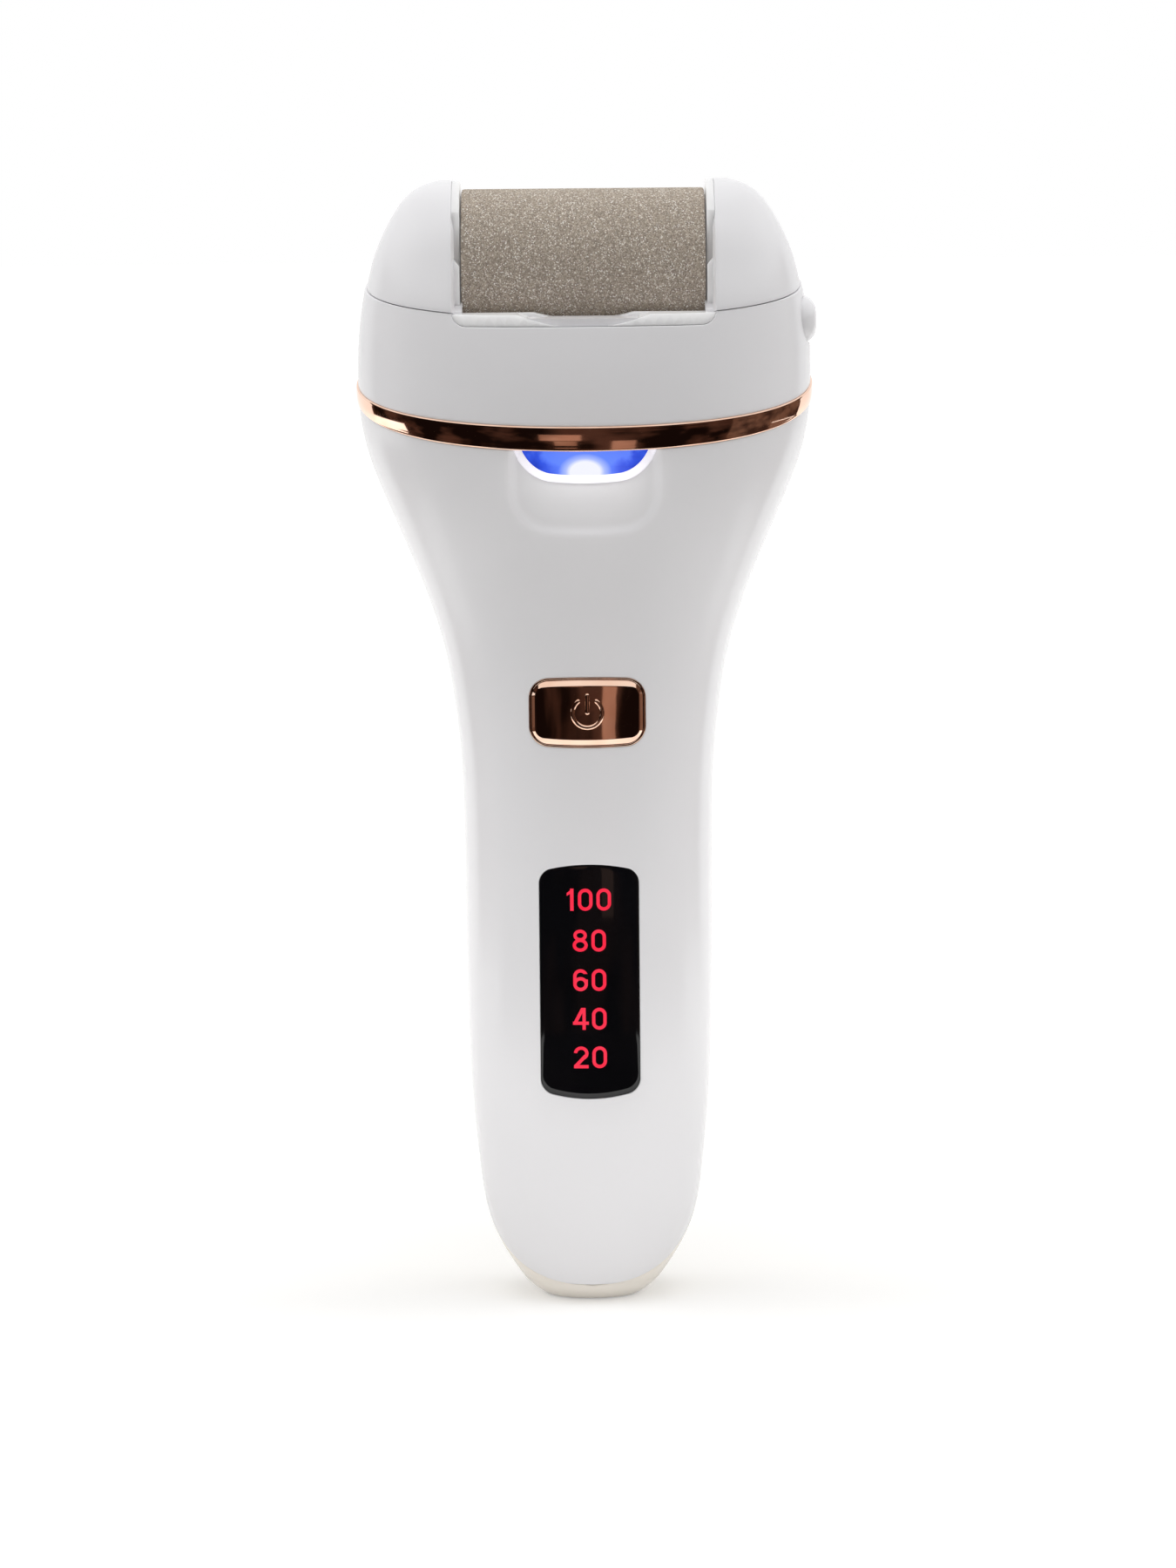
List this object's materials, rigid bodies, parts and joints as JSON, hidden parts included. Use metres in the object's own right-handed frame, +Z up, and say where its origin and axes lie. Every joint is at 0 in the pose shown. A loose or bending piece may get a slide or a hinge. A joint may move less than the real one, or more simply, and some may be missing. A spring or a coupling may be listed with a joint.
{
  "type": "electric callus remover",
  "caption": "Handheld electric foot file: a waisted handle with power button and charge display under a wide head that spins an abrasive roller.",
  "frame": {"origin": "centre of the flat foot under the handle, on the surface it stands on", "axes": "+Z up along the handle to the roller, front with the button and display towards -Y, +X to the right seen from the front"},
  "size_m": [0.0722, 0.0462, 0.178],
  "materials": {
    "white_shell": "glossy white moulded ABS",
    "cream_shell": "satin warm white moulded ABS",
    "rose_gold": "vacuum-plated mirror rose gold on plastic",
    "clear_plastic": "clear moulded polycarbonate",
    "abrasive": "coarse mineral grit bonded to a sleeve",
    "dark_mirror": "dark bronze mirror-plated plastic",
    "black_window": "gloss black acrylic",
    "lit_digits": "lit translucent red digits",
    "lamp_lens": "translucent lens lit blue",
    "inner_plastic": "natural acetal",
    "dark_plastic": "black moulded plastic",
    "steel": "turned and plated steel",
    "bronze": "sintered bronze",
    "board": "green glass-fibre circuit board",
    "magnet": "sintered ferrite",
    "cell_wrap": "blue heat-shrunk cell sleeve",
    "nickel": "nickel-plated strip",
    "red_wire": "PVC-covered copper wire"
  },
  "bodies": {
    "housing": {"front_shell": "white_shell", "rear_shell": "cream_shell", "trim_ring": "rose_gold", "head_housing": "white_shell", "left_ear_cap": "white_shell", "right_ear_cap": "white_shell", "roller_cradle": "clear_plastic", "button_frame": "rose_gold", "display_window": "black_window", "display_digits": "lit_digits", "led_lens": "lamp_lens", "led_board": "board", "led_emitters": "lamp_lens", "idler_pin": "steel", "gear_frame": "dark_plastic", "shaft_bushes": "bronze", "frame_screws": "steel", "motor_screws": "steel", "motor_can": "nickel", "motor_magnets": "magnet", "motor_end_cap": "dark_plastic", "motor_terminals": "nickel", "battery_cell": "cell_wrap", "cell_tabs": "nickel", "main_board": "board", "board_screws": "steel", "board_parts": "dark_plastic", "light_box": "inner_plastic", "digit_emitters": "lit_digits", "charge_board": "board", "charging_socket": "nickel", "socket_tongue": "dark_plastic", "pin_spring": "steel", "lever_pin": "steel", "switch_body": "dark_plastic", "motor_leads": "red_wire", "cell_leads": "red_wire", "charge_leads": "red_wire", "led_leads": "red_wire"},
    "roller": {"abrasive_sleeve": "abrasive", "roller_core": "dark_plastic", "drive_hub": "dark_plastic", "idler_hub": "dark_plastic", "drive_shaft": "steel", "roller_gear": "inner_plastic"},
    "idler": {"idler_gear": "inner_plastic"},
    "cross": {"cross_gear": "inner_plastic", "cross_shaft": "steel", "crown_gear": "inner_plastic"},
    "rotor": {"motor_pinion": "bronze", "motor_shaft": "steel", "motor_rotor": "steel"},
    "power_key": {"power_button": "dark_mirror", "power_symbol": "rose_gold", "switch_plunger": "dark_plastic"},
    "release_key": {"release_button": "white_shell"},
    "lever": {"release_lever": "inner_plastic"},
    "pin": {"retaining_pin": "steel"}
  },
  "joints": [
    {"name": "roller_spin", "type": "hinge", "parent": "housing", "child": "roller", "pos_m": [0, 0, 0.1646], "axis": [1, 0, 0], "continuous": true},
    {"name": "idler_spin", "type": "hinge", "parent": "housing", "child": "idler", "pos_m": [-0.0246, 0, 0.151], "axis": [1, 0, 0], "continuous": true},
    {"name": "cross_spin", "type": "hinge", "parent": "housing", "child": "cross", "pos_m": [0, 0, 0.1374], "axis": [1, 0, 0], "continuous": true},
    {"name": "rotor_spin", "type": "hinge", "parent": "housing", "child": "rotor", "pos_m": [0, 0, 0.125], "axis": [0, 0, 1], "continuous": true},
    {"name": "power_press", "type": "slide", "parent": "housing", "child": "power_key", "axis": [0, 1, 0], "range_m": [0, 0.0003], "stiffness_N_per_m": 1500, "springref_m": -0.0004},
    {"name": "release_press", "type": "slide", "parent": "housing", "child": "release_key", "axis": [-1, 0, 0], "range_m": [0, 0.0016], "stiffness_N_per_m": 600, "springref_m": -0.001},
    {"name": "lever_swing", "type": "hinge", "parent": "housing", "child": "lever", "pos_m": [0.0246, 0, 0.1603], "axis": [0, 1, 0], "range_deg": [0, 21.5]},
    {"name": "pin_slide", "type": "slide", "parent": "housing", "child": "pin", "axis": [1, 0, 0], "range_m": [0, 0.0016], "deforming": ["pin_spring"]}
  ],
  "couplings": [
    {"joint": "idler_spin", "follows": "roller_spin", "ratio": -0.88889},
    {"joint": "cross_spin", "follows": "roller_spin", "ratio": 1},
    {"joint": "rotor_spin", "follows": "roller_spin", "ratio": 2},
    {"joint": "lever_swing", "follows": "release_press", "rad_per_m": 227.27},
    {"joint": "pin_slide", "follows": "release_press", "ratio": 0.977}
  ]
}
